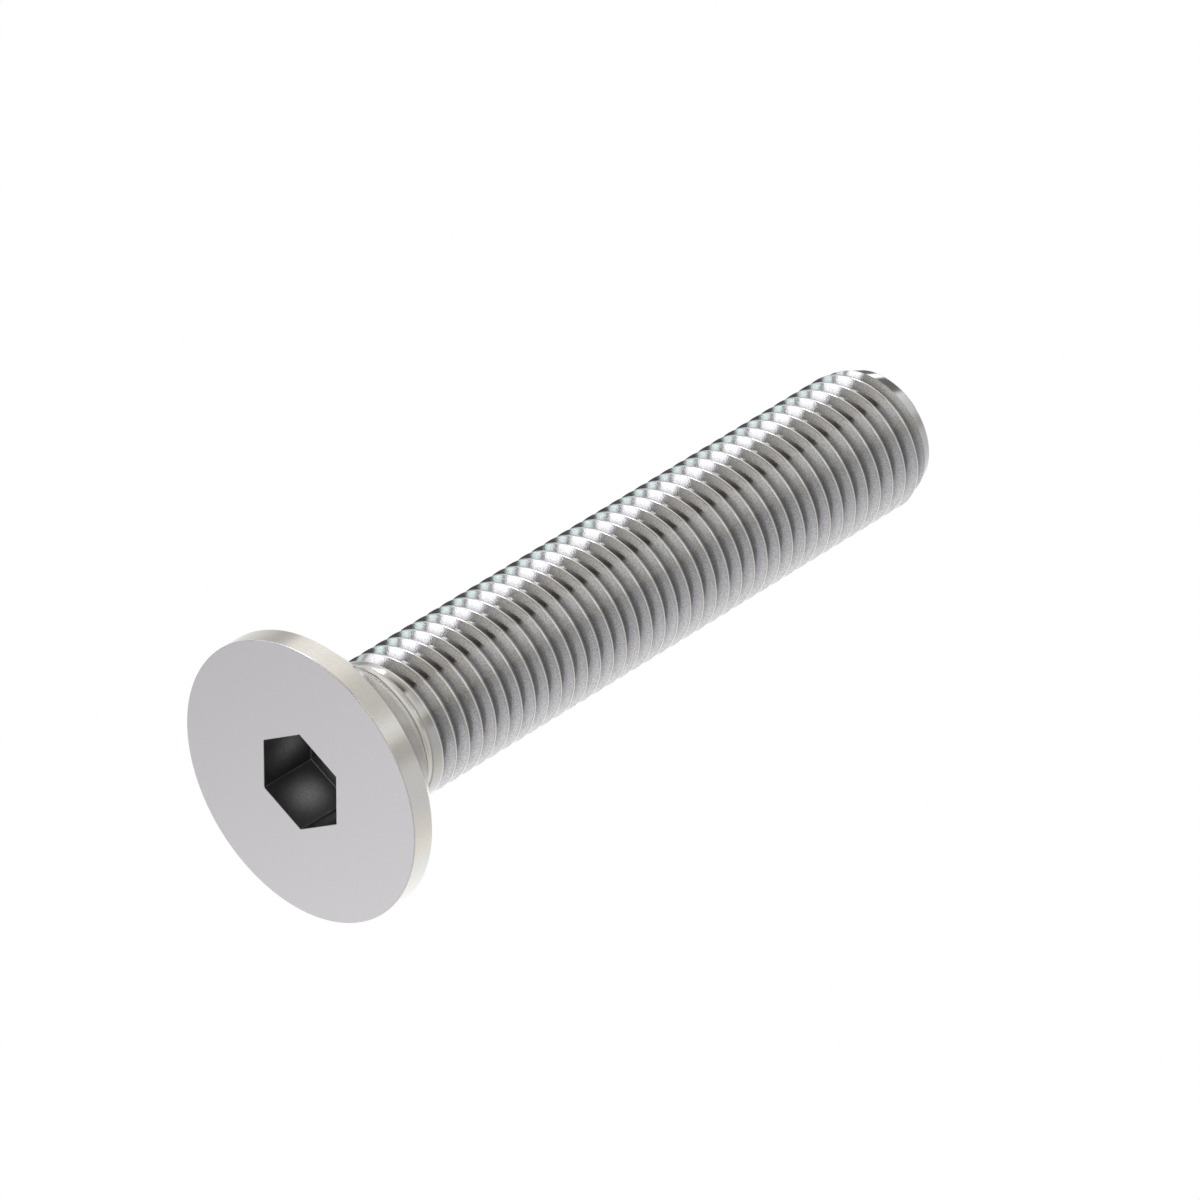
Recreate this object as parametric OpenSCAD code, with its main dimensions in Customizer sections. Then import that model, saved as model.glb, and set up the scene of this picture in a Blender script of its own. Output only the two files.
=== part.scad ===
// Countersunk screw with a hexagon socket, M8 x 1 fine thread, 45 mm long, in stainless steel.
// It stands on its flat head face: that face lies at Z = 0 and the thread points up along +Z.

/* [Head] */
// Diameter of the flat head face
head_d = 15.8; // [15:0.1:18]
// Height of the cylindrical rim below the face
rim_h = 1.3; // [0.6:0.1:2]
// Included angle of the countersunk seat
seat_angle = 90; // [82:1:100]
// Radius of the broken edge round the face
edge_break = 0.1; // [0.05:0.05:0.3]

/* [Socket] */
// Width across the flats of the hexagon socket
socket_af = 5; // [4:0.5:5.5]
// Depth of the hexagon socket
socket_depth = 3.5; // [2:0.1:4]

/* [Neck] */
// Diameter of the plain neck between the seat and the thread
neck_d = 7.8; // [7.5:0.1:7.9]
// Length of the plain neck, from the point of the seat cone to the collar
neck_l = 0.4; // [0.3:0.1:4]
// Fillet radius between the seat cone and the neck
neck_fillet = 0.6; // [0.3:0.1:0.8]
// Height of the ramp from the neck up to the thread's major diameter
ramp_h = 0.05; // [0.04:0.01:0.3]

/* [Thread] */
// Major diameter of the thread
thread_d = 8; // [7.9:0.1:8.2]
// Pitch of the thread
pitch = 1; // [0.75:0.05:1.25]
// Overall length, from the head face to the tip
length = 45; // [25:1:80]
// Direction round the axis in which the thread starts
start_angle = 150; // [0:5:355]
// Facets round one turn of the thread
turn_facets = 30; // [18:1:36]
// Share of a turn over which the groove deepens after the collar
fade_in_turn = 0.3; // [0.1:0.05:0.5]
// Share of a turn over which the groove runs out near the tip
fade_out_turn = 0.25; // [0.1:0.05:0.5]
// Gap between the end of the last crest and the flat end of the tip
end_gap = 0.3; // [0.1:0.05:0.6]

/* [Tip] */
// Diameter of the flat end of the tip
tip_d = 6.9; // [6:0.1:7.5]
// Length of the tapered tip
tip_l = 1.4; // [0.8:0.1:3]

/* [Hidden] */

steel = [0.75, 0.745, 0.75];

// Facets round the turned head
head_facets = 96;
edge_steps = 4;
fillet_steps = 8;
cut_over = 1; // how far the socket's cutter stands out of the face

head_r = head_d / 2;
neck_r = neck_d / 2;
thread_r = thread_d / 2;
tip_r = tip_d / 2;

// The seat cone runs from the back of the rim to the neck.
seat_half = seat_angle / 2;
neck_z = rim_h + (head_r - neck_r) / tan(seat_half);
ramp_z = neck_z + neck_l;
collar_z = ramp_z + ramp_h;
collar_h = 0.03; // flat land that ends the turned part
turned_top = collar_z + collar_h;

// The neck fillet is tangent to the cone and to the neck.
fillet_turn = seat_half;
fillet_run = neck_fillet * tan(fillet_turn / 2);

// ISO metric profile: flat crest, 30 degree flanks and a flat root
flank_angle = 30;
depth_per_pitch = 0.6134;
thread_depth = depth_per_pitch * pitch;
crest_w = pitch / 8;
flank_w = thread_depth * tan(flank_angle);
row_z = [0, crest_w, crest_w + flank_w, pitch - flank_w];
row_depth = [0, 0, thread_depth, thread_depth];
rows = len(row_z);

// The thread lies a hair inside the collar, so that it leaves the collar's end face as a clear step.
collar_step = 0.015;
start_gap = 0.05;
crest_r = thread_r - collar_step;
helix_z = turned_top + start_gap;
taper_z = length - tip_l;
// The last crest makes one more turn after the groove has run out, up to the gap below the tip's end.
groove_end_z = length - end_gap - pitch;
steps = round((groove_end_z - helix_z) / pitch * turn_facets);
fade_in = turn_facets * fade_in_turn;
fade_out = turn_facets * fade_out_turn;

// The thread's foot is sunk into the turned neck.
foot_inset = 0.4;
foot_sink = 0.2;
foot_lap = 0.02;
foot_r = neck_r - foot_inset;
foot_z = turned_top - foot_sink;
foot_top = turned_top - foot_lap;

function angle_at(i) = start_angle + 360 * i / turn_facets;
function tip_limit(z) = z < taper_z ? crest_r : crest_r - (crest_r - tip_r) * (z - taper_z) / tip_l;
function depth_share(i) = max(0, min(1, i / fade_in, (steps - i) / fade_out));
function on_circle(a, r, z) = [r * cos(a), r * sin(a), z];
function thread_point(i, row) =
    let (z = helix_z + pitch * i / turn_facets + row_z[row],
         r = min(crest_r - row_depth[row] * depth_share(i), tip_limit(z)))
    on_circle(angle_at(i), r, z);

// Half section of the head, seat, neck and collar as one turned profile
module turned_section() {
    fillet_z = neck_z + fillet_run;
    points = concat(
        [[0, 0]],
        [for (s = [0 : edge_steps])
            let (a = 90 * s / edge_steps)
            [head_r - edge_break + edge_break * sin(a), edge_break - edge_break * cos(a)]],
        [[head_r, rim_h]],
        [for (s = [0 : fillet_steps])
            let (a = fillet_turn * (1 - s / fillet_steps))
            [neck_r + neck_fillet * (1 - cos(a)), fillet_z - neck_fillet * sin(a)]],
        [[neck_r, ramp_z],
         [thread_r, collar_z],
         [thread_r, turned_top],
         [0, turned_top]]);
    polygon(points);
}

// Head, countersunk seat, neck and collar, with the hexagon socket cut into the face
module turned_head() {
    difference() {
        rotate_extrude($fn = head_facets) turned_section();
        translate([0, 0, -cut_over])
            cylinder(d = socket_af / cos(180 / 6), h = socket_depth + cut_over, $fn = 6);
    }
}

// Threaded rod with a helical thread that fades in at the collar and fades out at the tapered tip
module threaded_rod() {
    n = turn_facets;
    lattice = [for (i = [0 : steps]) for (row = [0 : rows - 1]) thread_point(i, row)];
    last_crest = [for (i = [steps + 1 : steps + n]) thread_point(i, 0)];
    foot = [for (i = [0 : n - 1]) on_circle(angle_at(i), foot_r, foot_z)];
    base = [for (i = [0 : n - 1]) on_circle(angle_at(i), crest_r, foot_top)];
    end = [for (i = [0 : n - 1]) on_circle(angle_at(steps + i), tip_r, length)];
    last_0 = len(lattice);
    foot_0 = last_0 + n;
    base_0 = foot_0 + n;
    end_0 = base_0 + n;
    function at(i, row) = row < rows
        ? (i <= steps ? i * rows + row : last_0 + i - steps - 1)
        : at(i + n, 0);
    function base_at(i) = base_0 + i % n;
    function foot_at(i) = foot_0 + i % n;
    function end_at(i) = end_0 + i % n;
    thread_faces = [for (i = [0 : steps - 1]) for (row = [0 : rows - 1])
        for (half = [[at(i, row), at(i, row + 1), at(i + 1, row)],
                     [at(i + 1, row), at(i, row + 1), at(i + 1, row + 1)]]) half];
    foot_faces = [for (i = [0 : n - 1])
        for (half = [[foot_at(i), base_at(i), foot_at(i + 1)],
                     [foot_at(i + 1), base_at(i), base_at(i + 1)]]) half];
    base_faces = [for (i = [0 : n - 1])
        for (half = i < n - 1
            ? [[base_at(i), at(i, 0), base_at(i + 1)], [base_at(i + 1), at(i, 0), at(i + 1, 0)]]
            : [[base_at(i), at(i, 0), base_at(0)]]) half];
    // The first turn's groove ends in a column of points above the base.
    start_column = concat([base_at(0)], [for (row = [0 : rows]) at(0, row)]);
    start_faces = [for (k = [0 : rows]) [start_column[k], at(n - 1, 0), start_column[k + 1]]];
    end_faces = [for (i = [1 : n - 1])
        for (half = [[at(steps + i, 0), end_at(i), at(steps + i + 1, 0)],
                     [at(steps + i + 1, 0), end_at(i), end_at(i + 1)]]) half];
    end_column = concat([for (row = [0 : rows]) at(steps, row)], [end_at(0)]);
    seam_faces = concat(
        [for (k = [0 : rows]) [end_column[k], end_column[k + 1], at(steps + 1, 0)]],
        [[end_at(0), end_at(1), at(steps + 1, 0)]]);
    caps = [[for (i = [0 : n - 1]) foot_at(i)], [for (i = [n - 1 : -1 : 0]) end_at(i)]];
    polyhedron(
        points = concat(lattice, last_crest, foot, base, end),
        faces = concat(thread_faces, foot_faces, base_faces, start_faces, end_faces, seam_faces, caps));
}

// The whole screw is one forged and rolled piece.
module screw() {
    color(steel) union() {
        turned_head();
        threaded_rod();
    }
}

screw();
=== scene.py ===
"""Countersunk screw with a hexagon socket, in bright stainless steel, standing on its head."""

import math

import bpy
import numpy as np
from mathutils import Matrix, Vector


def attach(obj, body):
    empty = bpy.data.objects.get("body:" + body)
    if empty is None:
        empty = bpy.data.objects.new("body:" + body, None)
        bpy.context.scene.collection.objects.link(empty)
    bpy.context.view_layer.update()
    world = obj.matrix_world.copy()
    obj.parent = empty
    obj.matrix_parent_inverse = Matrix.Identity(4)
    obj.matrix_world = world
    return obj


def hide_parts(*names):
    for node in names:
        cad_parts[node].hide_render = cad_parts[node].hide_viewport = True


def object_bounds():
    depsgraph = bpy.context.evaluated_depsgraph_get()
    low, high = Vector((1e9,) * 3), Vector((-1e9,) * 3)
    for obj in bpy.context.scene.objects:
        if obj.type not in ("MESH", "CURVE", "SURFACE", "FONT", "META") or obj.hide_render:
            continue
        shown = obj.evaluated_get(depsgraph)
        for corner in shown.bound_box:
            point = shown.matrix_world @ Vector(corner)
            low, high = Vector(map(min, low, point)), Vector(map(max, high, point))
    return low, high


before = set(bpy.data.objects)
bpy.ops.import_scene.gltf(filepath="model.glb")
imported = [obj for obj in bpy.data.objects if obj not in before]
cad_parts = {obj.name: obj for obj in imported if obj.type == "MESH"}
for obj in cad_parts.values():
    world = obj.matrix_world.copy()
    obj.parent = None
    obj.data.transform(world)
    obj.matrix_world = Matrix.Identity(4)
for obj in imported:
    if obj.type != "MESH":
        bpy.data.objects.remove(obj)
cad_low, cad_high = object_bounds()
MM = 0.001

# Photograph's view, as a camera fitted to the screw in it
PHOTO_PIXELS = 1200
FOCAL_PIXELS = 13546
SENSOR_WIDTH = 36.0
CAMERA_PLACE = Vector((148.07, -527.77, -415.67)) * MM
AIM_HEIGHT = 22.82 * MM
PHOTO_RIGHT = Vector((0.64398, -0.3739, 0.66744))
CLIP_NEAR = 0.01
CLIP_FAR = 10.0

# Head, in millimetres. A hold is a narrow band beside a broken edge, which keeps its round small.
HEAD_R = cad_high.x / MM
RIM_H = 1.3
EDGE_BREAK = 0.05
EDGE_HOLD = 0.06
EDGE_FROM_DEG = -75
EDGE_STEPS = 5
FACE_RINGS = (0.2, 0.6, 1.0)
SEAT_HALF = math.radians(45)
SOCKET_AF = 5.0
SOCKET_DEPTH = 3.5
MOUTH_BREAK = 0.02
FLOOR_BREAK = 0.015

# Neck and collar
NECK_R = 3.9
NECK_L = 0.4
NECK_FILLET = 0.6
FILLET_STEPS = 8
RAMP_H = 0.05
COLLAR_STEP = 0.04

# Thread and tip
THREAD_R = 4.0
PITCH = 1.0
LENGTH = cad_high.z / MM
START_ANGLE = math.radians(150)
RUN_IN = 0.08
COLUMNS = 144
THREAD_DEPTH = 0.6134 * PITCH
ROOT_R = 0.1443 * PITCH
ROOT_HALF_DEG = 60
ROOT_POINTS = 5
CREST_W = PITCH / 8
CREST_ROUND = 0.025
FLANK = math.radians(30)
FADE_IN = 0.3
FADE_OUT = 0.25
END_GAP = 0.3
TIP_R = 3.45
TIP_L = 1.4
TIP_BREAK = 0.08
TIP_BREAK_MID = 0.25
TIP_HOLD = 0.04
SHARP_ANGLE = math.radians(38)

# Finish of the steel, and the painted shade in the thread's groove
GROOVE_DEPTH = "groove_depth"
GROOVE_SHADE_H = 0.52
GRAIN_LOW, GRAIN_HIGH = 0.3, 0.7
GRAIN_DETAIL = 3.0
BROAD_DETAIL = 2.0
BROAD_RATIO = 12
BUMP_HEIGHT = 0.01 * MM

# Painted shade and painted light in the socket. Its walls are darker towards their corners and ends, with
# a painted glow in their middle and painted highlights along the corner lines, and its floor is darker
# towards its outline. The corner line's edges are shares of the way from a corner to a wall's middle.
SOCKET_SHADE = (0.22, 0.22, 0.22)
CORNER_HIGHLIGHT = (0.004, 0.014)
WALL_FADE_END = -0.1
FLOOR_LIT_MIDDLE = 0.3

# Lamp and floor, with lengths in metres and the energy in watts
LAMP_SIZE = 0.09
LAMP_ENERGY = 0.009
LAMP_DISTANCE = 0.15
LAMP_SHIFT = 0.05
FLOOR_HALF = 3.0
FLOOR_GAP = 0.02 * MM
FLOOR_GREY = (0.93, 0.93, 0.93, 1)
FLOOR_ROUGHNESS = 0.9

WHITE = (1, 1, 1, 1)

# Sockets of the colour mix node
MIX_SHARE, MIX_A, MIX_B, MIX_RESULT = 0, 6, 7, 2

# Zones of the mesh, in the order of the finishes
FACE, EDGE, RIM, NECK, TURNED, CREST, ROLLED, SOCKET, SOCKET_FLOOR = range(9)


def arc(centre_r, centre_z, radius, from_deg, to_deg, steps):
    """Points (r, z) along an arc; the angle is measured from the outward radial direction."""
    angles = np.radians(np.linspace(from_deg, to_deg, steps + 1))
    return [(centre_r + radius * math.cos(a), centre_z + radius * math.sin(a)) for a in angles]


def thread_profile():
    """One pitch of the thread as (height along the axis, depth below the crest).

    The crest's two edges are rounded, with one point between the round's ends.
    """
    cut = CREST_ROUND
    across, along = cut * math.cos(FLANK), cut * math.sin(FLANK)
    round_in, round_down = cut / 8, across / 4
    middle = CREST_W + (PITCH - CREST_W) / 2
    root_centre = THREAD_DEPTH - ROOT_R
    root = [
        (middle + ROOT_R * math.sin(a), root_centre + ROOT_R * math.cos(a))
        for a in np.radians(np.linspace(-ROOT_HALF_DEG, ROOT_HALF_DEG, ROOT_POINTS))
    ]
    after_crest = [(CREST_W - round_in, round_down), (CREST_W + along, across)]
    before_crest = [(PITCH - along, across), (PITCH + round_in, round_down)]
    return [(cut, 0.0), (CREST_W - cut, 0.0)] + after_crest + root + before_crest


class ScrewMesh:
    """Collects rings of points and the faces between them."""

    def __init__(self):
        self.points = []
        self.depths = []
        self.faces = []
        self.zones = []

    def add_point(self, r, angle, z, depth=0.0):
        """Adds a point and returns its number. depth is how far down in the thread's groove it lies."""
        self.points.append((r * math.cos(angle) * MM, r * math.sin(angle) * MM, z * MM))
        self.depths.append(depth)
        return len(self.points) - 1

    def add_face(self, corners, zone):
        self.faces.append(corners)
        self.zones.append(zone)

    def ring(self, radius, z):
        """A ring of points. radius is a number or a function of the angle."""
        made = []
        for k in range(COLUMNS):
            angle = column_angle(k)
            r = radius(angle) if callable(radius) else radius
            made.append(self.add_point(r, angle, z))
        return made

    def band(self, lower, upper, zone):
        """Faces between two rings."""
        for k in range(COLUMNS):
            after = (k + 1) % COLUMNS
            self.add_face((lower[k], lower[after], upper[after], upper[k]), zone)

    def cap(self, ring, z, zone, up):
        """A flat disc inside a ring, facing up or down."""
        centre = self.add_point(0.0, 0.0, z)
        for k in range(COLUMNS):
            after = (k + 1) % COLUMNS
            pair = (ring[k], ring[after]) if up else (ring[after], ring[k])
            self.add_face((*pair, centre), zone)


def column_angle(k):
    return START_ANGLE + 2 * math.pi * k / COLUMNS


def hexagon(grow=0.0):
    """The socket's outline as a radius for each angle, with a corner on the X axis."""
    def radius(angle):
        from_flat = angle % (math.pi / 3) - math.pi / 6
        return (SOCKET_AF / 2 + grow) / math.cos(from_flat)
    return radius


def add_socket(mesh):
    """Walls and flat floor of the socket. Returns the ring that the face joins on to."""
    mouth = mesh.ring(hexagon(MOUTH_BREAK), 0.0)
    lip = mesh.ring(hexagon(), MOUTH_BREAK)
    foot = mesh.ring(hexagon(), SOCKET_DEPTH - FLOOR_BREAK)
    floor = mesh.ring(hexagon(-FLOOR_BREAK), SOCKET_DEPTH)
    mesh.band(floor, foot, EDGE)
    mesh.band(foot, lip, SOCKET)
    mesh.band(lip, mouth, SOCKET)
    mesh.cap(floor, SOCKET_DEPTH, SOCKET_FLOOR, False)
    return mouth


def add_face(mesh, mouth):
    """The flat face, from the socket's mouth to the broken edge."""
    outer = HEAD_R - EDGE_BREAK
    inner = mouth
    for share in FACE_RINGS:
        def between(angle, share=share):
            start = hexagon(MOUTH_BREAK)(angle)
            return start + (outer - start) * share
        ring = mesh.ring(between, 0.0)
        mesh.band(inner, ring, FACE)
        inner = ring
    return inner


def turned_outline():
    """Points (r, z) from the broken edge of the face to the collar, and the collar's height."""
    neck_z = RIM_H + (HEAD_R - NECK_R) / math.tan(SEAT_HALF)
    fillet_z = neck_z + NECK_FILLET * math.tan(SEAT_HALF / 2)
    fillet_centre = NECK_R + NECK_FILLET
    fillet_from = 180 + math.degrees(SEAT_HALF)
    fillet = arc(fillet_centre, fillet_z, NECK_FILLET, fillet_from, 180, FILLET_STEPS)
    ramp_z = neck_z + NECK_L
    collar_z = ramp_z + RAMP_H
    edge = arc(HEAD_R - EDGE_BREAK, EDGE_BREAK, EDGE_BREAK, EDGE_FROM_DEG, 0, EDGE_STEPS)
    rim = [(HEAD_R, EDGE_BREAK + EDGE_HOLD), (HEAD_R, RIM_H)]
    ramp_up = [(NECK_R, ramp_z), (THREAD_R - COLLAR_STEP, collar_z)]
    return edge + rim + fillet + ramp_up, collar_z


def outline_zone(z, collar_z):
    """Zone of the band that ends at this height of the outline."""
    if z < EDGE_BREAK or z == collar_z:
        return EDGE
    return RIM if z <= RIM_H else NECK


def tip_limit(z):
    """The largest radius that the tapered tip allows at this height."""
    taper_z = LENGTH - TIP_L
    if z < taper_z:
        return THREAD_R
    return THREAD_R - (THREAD_R - TIP_R) * (z - taper_z) / TIP_L


def add_thread(mesh, collar, collar_z):
    """The helical thread between the collar and the tip.

    Returns what the tip joins on to: the last turn of the crest's lower edge, the column of points
    where the groove ends, and the number of steps up to there.
    """
    profile = thread_profile()
    rows = len(profile)
    start_z = collar_z + RUN_IN
    steps = round((LENGTH - END_GAP - PITCH - start_z) / PITCH * COLUMNS)
    fade_in, fade_out = FADE_IN * COLUMNS, FADE_OUT * COLUMNS

    def thread_point(i, row):
        along, depth = profile[row]
        z = start_z + PITCH * i / COLUMNS + along
        share = max(0.0, min(1.0, i / fade_in, (steps - i) / fade_out))
        depth *= share * share * (3 - 2 * share)
        return mesh.add_point(min(THREAD_R - depth, tip_limit(z)), column_angle(i), z, depth)

    lattice = [[thread_point(i, row) for row in range(rows)] for i in range(steps + 1)]
    last_crest = [thread_point(i, 0) for i in range(steps + 1, steps + COLUMNS + 1)]

    def at(i, row):
        if row == rows:
            i, row = i + COLUMNS, 0
        return lattice[i][row] if i <= steps else last_crest[i - steps - 1]

    for i in range(steps):
        for row in range(rows):
            corners = (at(i, row), at(i + 1, row), at(i + 1, row + 1), at(i, row + 1))
            mesh.add_face(corners, CREST if row == 0 else ROLLED)
    for i in range(COLUMNS - 1):
        mesh.add_face((collar[i], collar[i + 1], at(i + 1, 0), at(i, 0)), TURNED)
    pivot = at(COLUMNS - 1, 0)
    mesh.add_face((collar[COLUMNS - 1], collar[0], pivot), TURNED)
    column = [collar[0]] + [at(0, row) for row in range(rows + 1)]
    for lower, upper in zip(column, column[1:]):
        mesh.add_face((lower, upper, pivot), TURNED)
    end_column = [at(steps, row) for row in range(rows + 1)]
    return [at(i, 0) for i in range(steps, steps + COLUMNS + 1)], end_column, steps


def add_tip(mesh, last_crest, end_column, steps):
    """The plain tapered tip beyond the last crest, with a lightly rounded end."""
    slope = (THREAD_R - TIP_R) / TIP_L
    low_z = LENGTH - TIP_BREAK
    turn = [(steps + k) % COLUMNS for k in range(COLUMNS)]
    rings = [
        mesh.ring(TIP_R + slope * (TIP_BREAK + TIP_HOLD), low_z - TIP_HOLD),
        mesh.ring(TIP_R + slope * TIP_BREAK, low_z),
        mesh.ring(TIP_R - TIP_BREAK * TIP_BREAK_MID, LENGTH - TIP_BREAK * TIP_BREAK_MID),
        mesh.ring(TIP_R - TIP_BREAK, LENGTH),
    ]
    first = [rings[0][k] for k in turn]
    for k in range(1, COLUMNS):
        after = (k + 1) % COLUMNS
        mesh.add_face((last_crest[k], last_crest[k + 1], first[after], first[k]), TURNED)
    pivot = last_crest[1]
    mesh.add_face((pivot, first[1], first[0]), TURNED)
    column = end_column + [first[0]]
    for lower, upper in zip(column, column[1:]):
        mesh.add_face((pivot, upper, lower), TURNED)
    for lower, upper in zip(rings, rings[1:]):
        mesh.band(lower, upper, TURNED)
    mesh.cap(rings[-1], LENGTH, TURNED, True)


def build_screw(materials):
    """The whole screw as one closed mesh."""
    mesh = ScrewMesh()
    below = add_face(mesh, add_socket(mesh))
    outline, collar_z = turned_outline()
    for r, z in outline:
        ring = mesh.ring(r, z)
        mesh.band(below, ring, outline_zone(z, collar_z))
        below = ring
    add_tip(mesh, *add_thread(mesh, below, collar_z))
    data = bpy.data.meshes.new("screw_body")
    data.from_pydata(mesh.points, [], mesh.faces)
    for material in materials:
        data.materials.append(material)
    data.polygons.foreach_set("material_index", mesh.zones)
    data.attributes.new(GROOVE_DEPTH, "FLOAT", "POINT").data.foreach_set("value", mesh.depths)
    data.polygons.foreach_set("use_smooth", [True] * len(mesh.faces))
    data.set_sharp_from_angle(angle=SHARP_ANGLE)
    data.update()
    piece = bpy.data.objects.new("screw_body", data)
    bpy.context.scene.collection.objects.link(piece)
    weighted = piece.modifiers.new("weighted_normals", "WEIGHTED_NORMAL")
    weighted.keep_sharp = True
    return piece


class Nodes:
    """Short helpers for a node tree."""

    def __init__(self, tree):
        self.tree = tree

    def add(self, kind, **settings):
        node = self.tree.nodes.new(kind)
        for name, value in settings.items():
            setattr(node, name, value)
        return node

    def put(self, node, name, value):
        """Links a socket, or sets a plain value."""
        if isinstance(value, bpy.types.NodeSocket):
            self.tree.links.new(value, node.inputs[name])
        else:
            node.inputs[name].default_value = value

    def maths(self, operation, *values):
        node = self.add("ShaderNodeMath", operation=operation)
        for index, value in enumerate(values):
            self.put(node, index, value)
        return node.outputs[0]

    def dot(self, vector, direction):
        node = self.add("ShaderNodeVectorMath", operation="DOT_PRODUCT")
        self.put(node, 0, vector)
        self.put(node, 1, tuple(direction))
        return node.outputs["Value"]

    def mix(self, share, a, b, blend="MIX"):
        """Colour a where share is 0, and b where it is 1."""
        node = self.add("ShaderNodeMix", data_type="RGBA", blend_type=blend)
        self.put(node, MIX_SHARE, share)
        self.put(node, MIX_A, a)
        self.put(node, MIX_B, b)
        return node.outputs[MIX_RESULT]

    def fall(self, value, from_value, to_value):
        """1 at from_value, fading smoothly to 0 at to_value."""
        node = self.add("ShaderNodeMapRange", interpolation_type="SMOOTHSTEP")
        for index, setting in enumerate((value, from_value, to_value, 1.0, 0.0)):
            self.put(node, index, setting)
        return node.outputs[0]

    def noise(self, vector, scale, detail):
        node = self.add("ShaderNodeTexNoise")
        self.put(node, "Vector", vector)
        self.put(node, "Scale", scale)
        self.put(node, "Detail", detail)
        return node.outputs[0]


def painted_wall_light(nodes, place):
    """Painted light on the socket's walls: 1 in their middle (a painted glow) and on the corner lines
    (painted highlights), 0 in between (painted shade).
    """
    parts = nodes.add("ShaderNodeSeparateXYZ")
    nodes.put(parts, 0, place)
    turn = nodes.maths("ARCTAN2", parts.outputs["Y"], parts.outputs["X"])
    half_turn, half_depth = math.pi / 6, SOCKET_DEPTH * MM / 2
    from_corner = nodes.maths("DIVIDE", nodes.maths("PINGPONG", turn, half_turn), half_turn)
    from_end = nodes.maths("DIVIDE", nodes.maths("PINGPONG", parts.outputs["Z"], half_depth), half_depth)
    across = nodes.fall(from_corner, 1.0, 0.0)
    along = nodes.fall(from_end, 1.0, WALL_FADE_END)
    middle = nodes.maths("MULTIPLY", across, along)
    return nodes.maths("MAXIMUM", middle, nodes.fall(from_corner, *CORNER_HIGHLIGHT))


def painted_floor_light(nodes, place):
    """Painted light on the socket's floor: 1 in the middle, fading to 0 at its outline, which is darker
    (painted shade).
    """
    flat = nodes.add("ShaderNodeVectorMath", operation="MULTIPLY")
    nodes.put(flat, 0, place)
    nodes.put(flat, 1, (1, 1, 0))
    from_axis = nodes.add("ShaderNodeVectorMath", operation="LENGTH")
    nodes.put(from_axis, 0, flat.outputs[0])
    half_width = SOCKET_AF / 2 * MM
    return nodes.fall(from_axis.outputs["Value"], FLOOR_LIT_MIDDLE * half_width, half_width)


def steel(name, colour, shade, roughness, roughness_swing, grain, bump, groove=1.0, painted_light=None):
    """Bright steel. Fine grain varies its colour and lifts its surface, a broader one its roughness.

    shade is how bright the grain's dark side is. groove is how bright the steel stays at the bottom
    of the thread, a painted shade that darkens towards the groove's bottom. The last argument gives the
    share of the surface that keeps the steel's colour, as painted light; the rest takes a dark colour, a
    painted shade.
    of the thread. clean gives the share of the surface that grime leaves bare.
    """
    material = bpy.data.materials.new(name)
    material.use_nodes = True
    nodes = Nodes(material.node_tree)
    surface = material.node_tree.nodes["Principled BSDF"]
    place = nodes.add("ShaderNodeTexCoord").outputs["Object"]
    fine = nodes.noise(place, grain, GRAIN_DETAIL)
    broad = nodes.noise(place, grain / BROAD_RATIO, BROAD_DETAIL)
    darker = tuple(c * shade for c in colour)
    grained = nodes.mix(nodes.fall(fine, GRAIN_HIGH, GRAIN_LOW), (*darker, 1), (*colour, 1))
    # Painted shade in the thread's groove: darker towards the groove's bottom.
    if groove < 1:
        depth = nodes.add("ShaderNodeAttribute", attribute_name=GROOVE_DEPTH).outputs["Fac"]
        deep = nodes.fall(depth, THREAD_DEPTH, THREAD_DEPTH - GROOVE_SHADE_H)
        dim = nodes.mix(deep, WHITE, (groove, groove, groove, 1))
        grained = nodes.mix(1.0, grained, dim, "MULTIPLY")
    # Painted shade in the socket: the colour turns dark where the share of painted light falls.
    if painted_light:
        grained = nodes.mix(painted_light(nodes, place), (*SOCKET_SHADE, 1), grained)
    nodes.put(surface, "Base Color", grained)
    nodes.put(surface, "Roughness", nodes.maths("MULTIPLY_ADD", broad, roughness_swing, roughness))
    nodes.put(surface, "Metallic", 1.0)
    lift = nodes.add("ShaderNodeBump")
    nodes.put(lift, "Strength", bump)
    nodes.put(lift, "Distance", BUMP_HEIGHT)
    nodes.put(lift, "Height", fine)
    nodes.put(surface, "Normal", lift.outputs[0])
    return material


def ramp(nodes, share, stops):
    """Colours round the screw. stops are (degrees from the camera's side, level, tint)."""
    node = nodes.add("ShaderNodeValToRGB")
    nodes.put(node, 0, share)
    elements = node.color_ramp.elements
    while len(elements) < len(stops):
        elements.new(0.5)
    for element, (degrees, level, tint) in zip(elements, stops):
        element.position = (degrees + 180) / 360
        element.color = (*(level * c for c in tint), 1)
    return node.outputs[0]


def add_face_lamp():
    """A soft lamp below the head. It brightens the lower side of the face."""
    data = bpy.data.lights.new("face_lamp", "AREA")
    data.shape = "SQUARE"
    data.size = LAMP_SIZE
    data.energy = LAMP_ENERGY
    lamp = bpy.data.objects.new("face_lamp", data)
    bpy.context.scene.collection.objects.link(lamp)
    mirrored = Vector((photo_away.x, photo_away.y, -photo_away.z))
    lower_side = -(photo_up - Vector((0, 0, photo_up.z))).normalized()
    lamp.location = mirrored * LAMP_DISTANCE + lower_side * LAMP_SHIFT
    lamp.rotation_euler = (-mirrored).to_track_quat("-Z", "Y").to_euler()
    lamp.visible_camera = False


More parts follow.
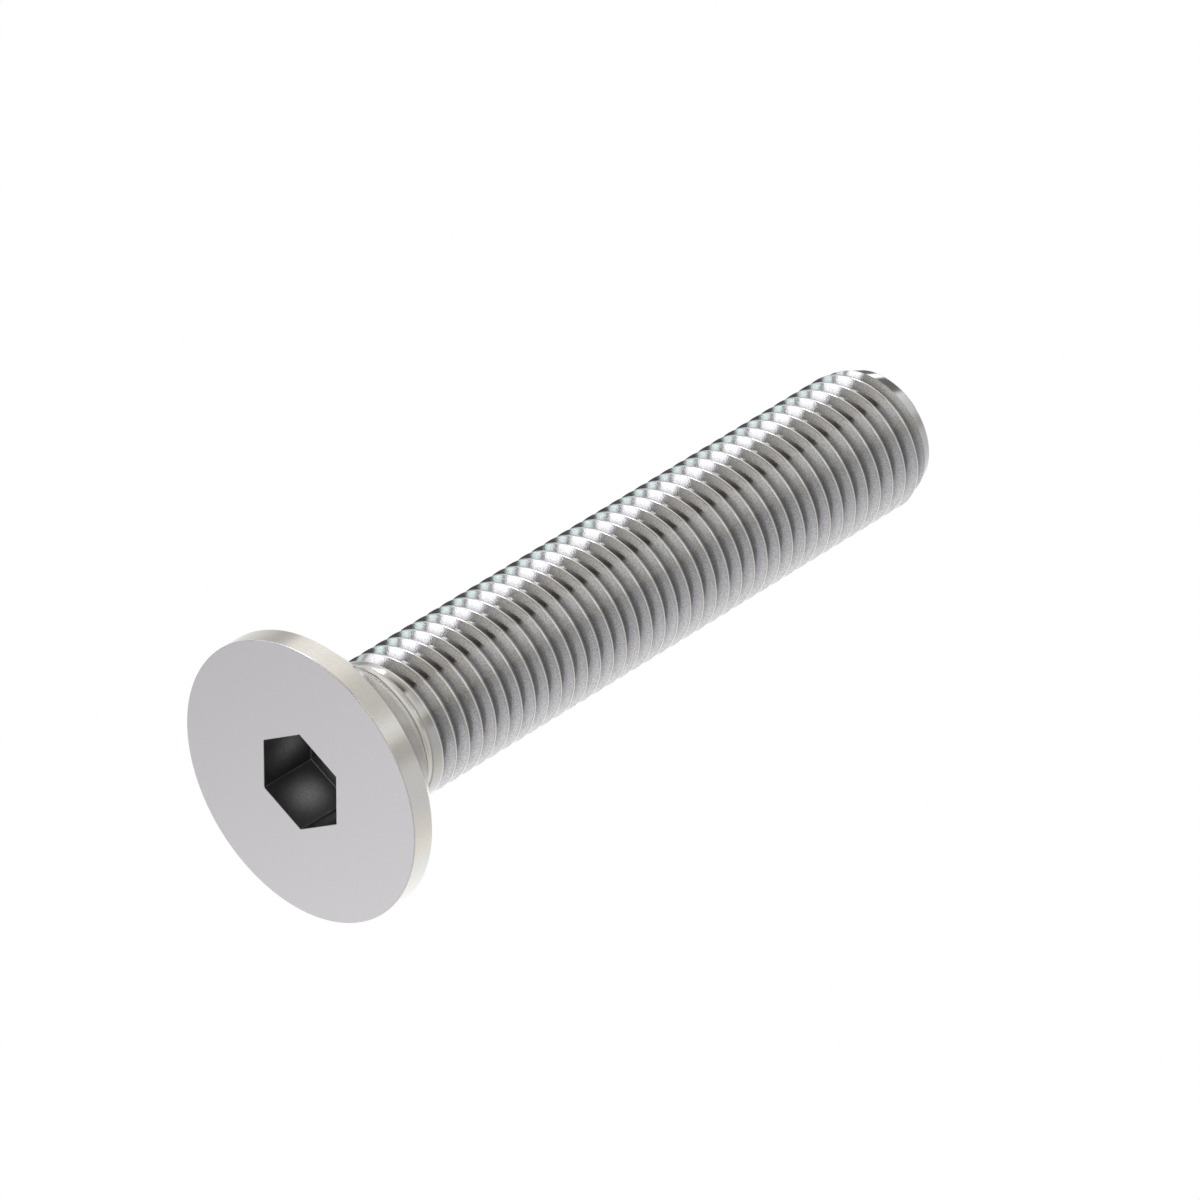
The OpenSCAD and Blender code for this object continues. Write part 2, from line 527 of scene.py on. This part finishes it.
def light_world():
    """White to the camera. Metal sees tall studio cards that stand round the screw, along its axis."""
    world = bpy.data.worlds.new("studio")
    bpy.context.scene.world = world
    world.use_nodes = True
    nodes = Nodes(world.node_tree)
    direction = nodes.add("ShaderNodeTexCoord").outputs["Generated"]
    side = Vector((-photo_away.x, -photo_away.y, 0)).normalized()
    along = nodes.dot(direction, side)
    across = nodes.dot(direction, (-side.y, side.x, 0))
    turn = nodes.maths("DIVIDE", nodes.maths("ARCTAN2", across, along), 2 * math.pi)
    share = nodes.maths("ADD", turn, 0.5)
    rise = nodes.dot(direction, (0, 0, 1))
    studio = ramp(nodes, share, CARDS_TOP)
    for from_rise, to_rise, stops in STEPS_DOWN:
        studio = nodes.mix(nodes.fall(rise, from_rise, to_rise), studio, ramp(nodes, share, stops))
    path = nodes.add("ShaderNodeLightPath")
    background = world.node_tree.nodes["Background"]
    nodes.put(background, "Color", nodes.mix(path.outputs["Is Camera Ray"], studio, WHITE))


# Tints of the studio cards
PLAIN, TEAL, WARM, COOL = (1, 1, 1), (0.86, 1, 1.01), (1.03, 1, 0.94), (0.98, 0.98, 1.02)

# Studio cards at four heights: degrees round from the camera's side, level, tint
CARDS_TOP = [
    (-180, 0.50, PLAIN),
    (-172, 0.16, PLAIN),
    (-147, 0.18, PLAIN),
    (-143, 1.90, COOL),
    (-135, 1.90, COOL),
    (-130, 0.18, PLAIN),
    (-95, 0.20, PLAIN),
    (-86, 1.00, PLAIN),
    (-60, 0.82, PLAIN),
    (0, 0.76, PLAIN),
    (50, 0.50, WARM),
    (70, 0.46, WARM),
    (90, 0.64, PLAIN),
    (120, 0.68, PLAIN),
    (140, 0.80, PLAIN),
    (160, 0.92, PLAIN),
]
CARDS_HIGH = [
    (-180, 1.00, PLAIN),
    (-160, 0.76, PLAIN),
    (-140, 0.64, WARM),
    (-122, 0.44, WARM),
    (-112, 0.46, WARM),
    (-102, 0.82, WARM),
    (-80, 0.84, WARM),
    (-60, 0.82, WARM),
    (-42, 0.60, WARM),
    (-22, 0.52, WARM),
    (-14, 0.54, WARM),
    (0, 0.76, PLAIN),
    (8, 0.66, WARM),
    (14, 0.42, WARM),
    (24, 0.40, WARM),
    (34, 0.58, PLAIN),
    (60, 0.58, PLAIN),
    (80, 0.66, WARM),
    (100, 0.79, WARM),
    (120, 0.89, PLAIN),
    (140, 0.98, PLAIN),
    (160, 1.06, PLAIN),
]
CARDS_ABOVE = [
    (-180, 1.00, PLAIN),
    (-168, 0.95, PLAIN),
    (-163, 0.12, PLAIN),
    (-130, 0.12, PLAIN),
    (-127, 1.00, TEAL),
    (-121, 1.00, TEAL),
    (-119, 0.35, PLAIN),
    (-114, 1.05, COOL),
    (-98, 1.06, COOL),
    (-94, 1.95, COOL),
    (-86, 1.95, COOL),
    (-83, 7.00, COOL),
    (-77, 7.00, COOL),
    (-73, 0.80, WARM),
    (-60, 0.42, WARM),
    (-47, 0.12, WARM),
    (-34, 0.05, WARM),
    (-28, 0.86, WARM),
    (-12, 0.84, PLAIN),
    (10, 0.78, WARM),
    (16, 0.52, WARM),
    (30, 0.54, COOL),
    (60, 0.52, PLAIN),
    (95, 0.64, PLAIN),
    (130, 0.90, PLAIN),
    (165, 1.40, PLAIN),
]
CARDS_BELOW = [
    (-180, 0.54, PLAIN),
    (-156, 0.46, PLAIN),
    (-150, 0.10, PLAIN),
    (-131, 0.10, PLAIN),
    (-129, 1.40, TEAL),
    (-121, 1.40, TEAL),
    (-119, 0.30, PLAIN),
    (-116, 0.30, PLAIN),
    (-114, 1.85, COOL),
    (-98, 1.85, COOL),
    (-94, 0.36, PLAIN),
    (-85, 0.46, WARM),
    (-60, 0.54, WARM),
    (-40, 0.64, WARM),
    (-10, 0.63, PLAIN),
    (20, 0.43, WARM),
    (42, 0.40, PLAIN),
    (80, 0.55, COOL),
    (100, 0.71, COOL),
    (130, 1.00, PLAIN),
    (150, 1.45, PLAIN),
    (162, 1.00, PLAIN),
    (176, 0.66, PLAIN),
]

# Each step goes from the cards above it to the next lower ones, between two sines of the elevation.
STEPS_DOWN = [
    (0.68, 0.73, CARDS_HIGH),
    (0.46, 0.54, CARDS_ABOVE),
    (-0.5, -0.1, CARDS_BELOW),
]


def add_floor():
    """A pale floor under the screw, seen only from above, because the photograph looks up at the head."""
    half = FLOOR_HALF
    data = bpy.data.meshes.new("floor")
    corners = [(-half, -half, 0), (half, -half, 0), (half, half, 0), (-half, half, 0)]
    data.from_pydata(corners, [], [(0, 1, 2, 3)])
    floor = bpy.data.objects.new("floor", data)
    floor.location.z = cad_low.z - FLOOR_GAP
    bpy.context.scene.collection.objects.link(floor)
    floor.visible_diffuse = False
    floor.visible_glossy = False
    floor.visible_transmission = False
    floor.visible_shadow = False
    material = bpy.data.materials.new("floor")
    material.use_nodes = True
    nodes = Nodes(material.node_tree)
    surface = material.node_tree.nodes["Principled BSDF"]
    nodes.put(surface, "Base Color", FLOOR_GREY)
    nodes.put(surface, "Roughness", FLOOR_ROUGHNESS)
    clear = nodes.add("ShaderNodeBsdfTransparent")
    sides = nodes.add("ShaderNodeMixShader")
    nodes.put(sides, 0, nodes.add("ShaderNodeNewGeometry").outputs["Backfacing"])
    nodes.put(sides, 1, surface.outputs[0])
    nodes.put(sides, 2, clear.outputs[0])
    nodes.put(material.node_tree.nodes["Material Output"], "Surface", sides.outputs[0])
    data.materials.append(material)


def add_camera():
    """The camera that sees what the photograph shows."""
    data = bpy.data.cameras.new("photo_camera")
    data.sensor_width = SENSOR_WIDTH
    data.lens = FOCAL_PIXELS / PHOTO_PIXELS * SENSOR_WIDTH
    data.clip_start = CLIP_NEAR
    data.clip_end = CLIP_FAR
    camera = bpy.data.objects.new("photo_camera", data)
    bpy.context.scene.collection.objects.link(camera)
    turn = Matrix((photo_right, photo_up, -photo_away)).transposed()
    camera.matrix_world = Matrix.Translation(CAMERA_PLACE) @ turn.to_4x4()
    bpy.context.scene.camera = camera


photo_away = (Vector((0, 0, AIM_HEIGHT)) - CAMERA_PLACE).normalized()
photo_right = (PHOTO_RIGHT - photo_away * PHOTO_RIGHT.dot(photo_away)).normalized()
photo_up = photo_right.cross(photo_away)

add_camera()
light_world()
add_face_lamp()
add_floor()

# Name, colour, shade, roughness and its swing, scale of the grain, strength of the bump
finishes = [
    steel("face_steel", (0.73, 0.71, 0.735), 0.92, 0.30, 0.06, 12000, 0.25),
    steel("edge_steel", (0.70, 0.69, 0.68), 0.98, 0.60, 0.05, 6000, 0.03),
    steel("rim_steel", (0.895, 0.88, 0.855), 0.955, 0.14, 0.05, 6000, 0.03),
    steel("neck_steel", (0.78, 0.765, 0.73), 0.98, 0.12, 0.05, 6000, 0.03),
    steel("turned_steel", (0.64, 0.635, 0.625), 0.96, 0.06, 0.05, 9000, 0.1),
    # The crest's steel colour, made brighter than the flanks' as a painted highlight along the crest
    # line.
    steel("crest_steel", (0.86, 0.84, 0.81), 0.96, 0.10, 0.05, 9000, 0.1),
    # The rolled flanks carry a painted shade, darker towards the bottom of the groove.
    steel("rolled_steel", (0.735, 0.73, 0.735), 0.68, 0.05, 0.05, 13000, 0.30, groove=0.48),
    # The socket's walls and floor carry painted shade, with a painted glow in the walls' middle and
    # painted highlights on the corner lines.
    steel("socket_steel", (0.98, 0.98, 1.0), 0.78, 0.30, 0.10, 9000, 0.9, painted_light=painted_wall_light),
    steel("socket_floor_steel", (0.60, 0.60, 0.61), 0.80, 0.35, 0.10, 12000, 0.4, painted_light=painted_floor_light),
]
screw = build_screw(finishes)
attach(screw, "root")
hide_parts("screw")

bpy.context.scene.view_settings.view_transform = "Standard"
